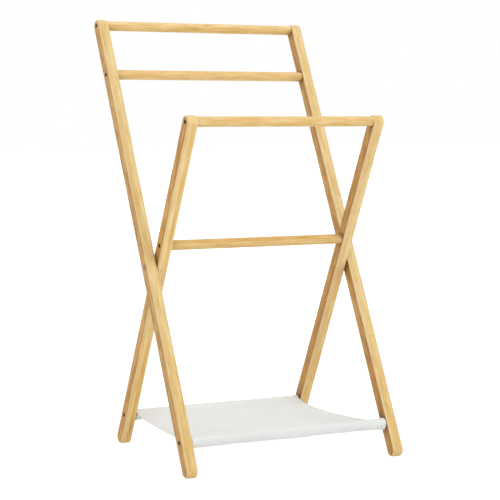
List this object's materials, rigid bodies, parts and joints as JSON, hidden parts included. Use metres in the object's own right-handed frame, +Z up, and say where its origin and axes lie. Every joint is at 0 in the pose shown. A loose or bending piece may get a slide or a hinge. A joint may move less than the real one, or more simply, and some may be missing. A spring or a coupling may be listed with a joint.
{
  "type": "folding towel rack with shelf",
  "caption": "Folding X-frame bamboo towel rack: a tall frame and a short frame cross on pivot bolts, with round towel rails above and a cloth shelf slung between rods near the floor.",
  "frame": {"origin": "on the floor, midway between the left and right sides and midway between the front and back of the open rack", "axes": "+X to the right along the rails, -Y to the front where the tall frame's feet stand, +Z up"},
  "size_m": [0.4842, 0.4601, 0.8855],
  "materials": {
    "bamboo": "laminated bamboo strips, satin clear lacquer",
    "cloth": "plain woven white cloth",
    "screw_steel": "black coated steel",
    "bolt_steel": "dull darkened plate",
    "washer_nylon": "natural nylon",
    "insert_brass": "plain brass"
  },
  "bodies": {
    "tall_frame": {"tall_upright_left": "bamboo", "tall_upright_right": "bamboo", "tall_top_rail": "bamboo", "tall_second_rail": "bamboo", "front_shelf_rod": "bamboo", "tall_top_rail_screws": "screw_steel", "tall_second_rail_screws": "screw_steel", "front_shelf_rod_screws": "screw_steel", "shelf_cloth": "cloth"},
    "short_frame": {"short_upright_left": "bamboo", "short_upright_right": "bamboo", "short_top_rail": "bamboo", "short_mid_rail": "bamboo", "rear_shelf_rod": "bamboo", "short_top_rail_screws": "screw_steel", "short_mid_rail_screws": "screw_steel", "rear_shelf_rod_screws": "screw_steel", "pivot_bolt_left": "bolt_steel", "pivot_bolt_right": "bolt_steel", "pivot_washer_left": "washer_nylon", "pivot_washer_right": "washer_nylon", "pivot_insert_left": "insert_brass", "pivot_insert_right": "insert_brass"}
  },
  "joints": [
    {"name": "fold", "type": "hinge", "parent": "tall_frame", "child": "short_frame", "pos_m": [0, -0.02813, 0.38672], "axis": [-1, 0, 0], "range_deg": [0, 48.5], "deforming": ["shelf_cloth"]}
  ]
}
